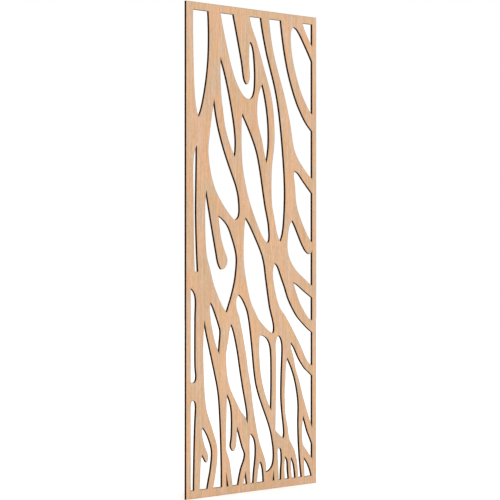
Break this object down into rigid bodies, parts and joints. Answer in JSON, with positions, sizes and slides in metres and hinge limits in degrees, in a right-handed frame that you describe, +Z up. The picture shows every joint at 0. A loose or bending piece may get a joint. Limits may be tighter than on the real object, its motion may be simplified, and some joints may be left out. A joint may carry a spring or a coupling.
{
  "type": "fretwork panel",
  "caption": "Flat rectangular fretwork panel of thin veneered plywood, cut right through in long bark-like openings inside a narrow border.",
  "frame": {"origin": "middle of the panel's lower edge: centred on its width and on its thickness, at its lowest level", "axes": "+X to the right across the width as seen from the front, +Y from the front face to the back face, +Z up along the height"},
  "size_m": [0.45, 0.006, 1.2],
  "materials": {
    "veneer": "fine sanded and unlacquered, upright grain, scorched brown at the cut edges",
    "crossband": "raw veneer with its grain lying across, charred dark brown on every cut wall",
    "core": "raw core ply with upright grain, charred dark brown on every cut wall"
  },
  "bodies": {
    "root": {"front_veneer": "veneer", "front_crossband": "crossband", "core": "core", "back_crossband": "crossband", "back_veneer": "veneer"}
  },
  "joints": []
}
